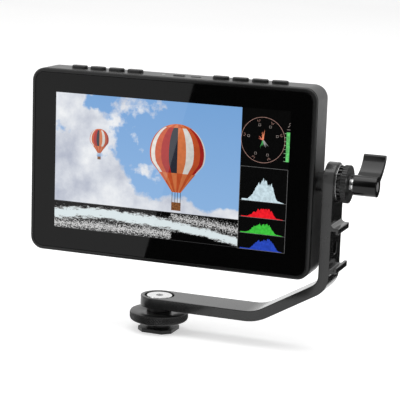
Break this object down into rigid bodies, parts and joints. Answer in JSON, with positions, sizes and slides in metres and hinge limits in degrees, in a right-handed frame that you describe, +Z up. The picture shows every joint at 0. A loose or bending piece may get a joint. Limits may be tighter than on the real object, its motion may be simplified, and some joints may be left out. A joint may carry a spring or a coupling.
{
  "type": "camera field monitor",
  "caption": "Slim on-camera field monitor with top keys, held at its side by an L-shaped tilt arm with wing knob, accessory channel, lock disc and shoe foot.",
  "frame": {"origin": "centre of the underside of the shoe foot", "axes": "+X to the monitor's right seen from the front, towards the knob; +Y to the back; +Z up"},
  "size_m": [0.1764, 0.0328, 0.13],
  "materials": {
    "case_plastic": "fine matt grain",
    "key_plastic": "satin",
    "cover_glass": "polished black glass with a printed border",
    "display": "display panel",
    "white_film": "white film",
    "inner_frame": "plain sheet",
    "board_green": "solder mask",
    "chip_black": "moulded package",
    "flex_amber": "polyimide film",
    "light_pipe": "clear diffusing plastic",
    "plated_steel": "plated shell",
    "screw_steel": "zinc plated",
    "socket_black": "moulded",
    "heat_alloy": "extruded",
    "insert_brass": "turned",
    "contact_gold": "plated",
    "spring_steel": "wire",
    "arm_alloy": "satin black anodised",
    "ring_alloy": "black with bright edges",
    "black_washer": "moulded",
    "bright_steel": "polished",
    "knob_black": "semi-gloss black",
    "foot_alloy": "black anodised",
    "pad_rubber": "moulded"
  },
  "bodies": {
    "foot": {"shoe_foot": "foot_alloy", "foot_screw": "bright_steel"},
    "arm": {"tilt_arm": "arm_alloy", "arm_washer": "black_washer", "pressure_ring": "ring_alloy"},
    "monitor": {"front_bezel": "case_plastic", "cover_glass": "cover_glass", "lcd_panel": "display", "backlight": "white_film", "mid_frame": "inner_frame", "lcd_flex": "flex_amber", "main_board": "board_green", "board_chips": "chip_black", "board_screws": "screw_steel", "heat_spreader": "heat_alloy", "key_board": "board_green", "key_switches": "plated_steel", "key_flex": "flex_amber", "status_light": "light_pipe", "video_sockets": "plated_steel", "phones_socket": "socket_black", "supply_socket": "socket_black", "rear_cover": "case_plastic", "cover_screws": "screw_steel", "thread_insert": "insert_brass", "battery_plate": "case_plastic", "battery_contacts": "contact_gold", "plate_screws": "screw_steel", "latch_spring": "spring_steel", "pivot_collar": "black_washer"},
    "clamp_ring": {"toothed_ring": "ring_alloy"},
    "wheel_washer": {"thrust_washer": "plated_steel"},
    "wheel": {"lock_wheel": "knob_black"},
    "knob": {"wing_knob": "knob_black", "pivot_screw": "bright_steel", "knob_cap": "plated_steel"},
    "pad": {"lock_pad": "pad_rubber"},
    "disc": {"lock_disc": "foot_alloy"},
    "latch": {"battery_latch": "key_plastic"},
    "key_1": {"key_1": "key_plastic"},
    "key_2": {"key_2": "key_plastic"},
    "key_3": {"key_3": "key_plastic"},
    "key_4": {"key_4": "key_plastic"},
    "key_5": {"key_5": "key_plastic"},
    "key_6": {"key_6": "key_plastic"},
    "key_7": {"key_7": "key_plastic"},
    "key_8": {"key_8": "key_plastic"},
    "power_button": {"power_button": "key_plastic"},
    "input_button": {"input_button": "key_plastic"}
  },
  "joints": [
    {"name": "arm_swivel", "type": "hinge", "parent": "foot", "child": "arm", "pos_m": [0, 0, 0.0127], "axis": [0, 0, 1], "continuous": true},
    {"name": "monitor_tilt", "type": "hinge", "parent": "arm", "child": "monitor", "pos_m": [0.0871, 0, 0.0834], "axis": [1, 0, 0], "continuous": true},
    {"name": "clamp_travel", "type": "slide", "parent": "arm", "child": "clamp_ring", "axis": [1, 0, 0], "range_m": [0, 0.00127]},
    {"name": "knob_turn", "type": "hinge", "parent": "clamp_ring", "child": "knob", "pos_m": [0.0946, 0, 0.0834], "axis": [1, 0, 0], "range_deg": [0, 360]},
    {"name": "wheel_travel", "type": "slide", "parent": "clamp_ring", "child": "wheel_washer", "axis": [1, 0, 0], "range_m": [0, 0.00127]},
    {"name": "wheel_turn", "type": "hinge", "parent": "wheel_washer", "child": "wheel", "pos_m": [0.0936, 0, 0.0834], "axis": [1, 0, 0], "range_deg": [0, 360]},
    {"name": "pad_travel", "type": "slide", "parent": "foot", "child": "pad", "axis": [0, 0, 1], "range_m": [-0.0032, 0.0026]},
    {"name": "disc_turn", "type": "hinge", "parent": "pad", "child": "disc", "pos_m": [0, 0, 0.0054], "axis": [0, 0, 1], "range_deg": [-1152, 936]},
    {"name": "key_1_press", "type": "slide", "parent": "monitor", "child": "key_1", "axis": [0, 0, -1], "range_m": [0, 0.0004], "stiffness_N_per_m": 2500, "springref_m": -0.0002},
    {"name": "key_2_press", "type": "slide", "parent": "monitor", "child": "key_2", "axis": [0, 0, -1], "range_m": [0, 0.0004], "stiffness_N_per_m": 2500, "springref_m": -0.0002},
    {"name": "key_3_press", "type": "slide", "parent": "monitor", "child": "key_3", "axis": [0, 0, -1], "range_m": [0, 0.0004], "stiffness_N_per_m": 2500, "springref_m": -0.0002},
    {"name": "key_4_press", "type": "slide", "parent": "monitor", "child": "key_4", "axis": [0, 0, -1], "range_m": [0, 0.0004], "stiffness_N_per_m": 2500, "springref_m": -0.0002},
    {"name": "key_5_press", "type": "slide", "parent": "monitor", "child": "key_5", "axis": [0, 0, -1], "range_m": [0, 0.0004], "stiffness_N_per_m": 2500, "springref_m": -0.0002},
    {"name": "key_6_press", "type": "slide", "parent": "monitor", "child": "key_6", "axis": [0, 0, -1], "range_m": [0, 0.0004], "stiffness_N_per_m": 2500, "springref_m": -0.0002},
    {"name": "key_7_press", "type": "slide", "parent": "monitor", "child": "key_7", "axis": [0, 0, -1], "range_m": [0, 0.0004], "stiffness_N_per_m": 2500, "springref_m": -0.0002},
    {"name": "key_8_press", "type": "slide", "parent": "monitor", "child": "key_8", "axis": [0, 0, -1], "range_m": [0, 0.0004], "stiffness_N_per_m": 2500, "springref_m": -0.0002},
    {"name": "power_button_press", "type": "slide", "parent": "monitor", "child": "power_button", "axis": [0, 0, -1], "range_m": [0, 0.0004], "stiffness_N_per_m": 2500, "springref_m": -0.0002},
    {"name": "input_button_press", "type": "slide", "parent": "monitor", "child": "input_button", "axis": [0, 0, -1], "range_m": [0, 0.0004], "stiffness_N_per_m": 2500, "springref_m": -0.0002},
    {"name": "latch_press", "type": "slide", "parent": "monitor", "child": "latch", "axis": [0, -1, 0], "range_m": [0, 0.002], "stiffness_N_per_m": 900, "springref_m": -0.001, "deforming": ["latch_spring"]}
  ],
  "couplings": [
    {"joint": "knob_turn", "follows": "clamp_travel", "rad_per_m": 4947.4},
    {"joint": "wheel_turn", "follows": "wheel_travel", "rad_per_m": 4947.4},
    {"joint": "disc_turn", "follows": "pad_travel", "rad_per_m": 6283.2}
  ]
}
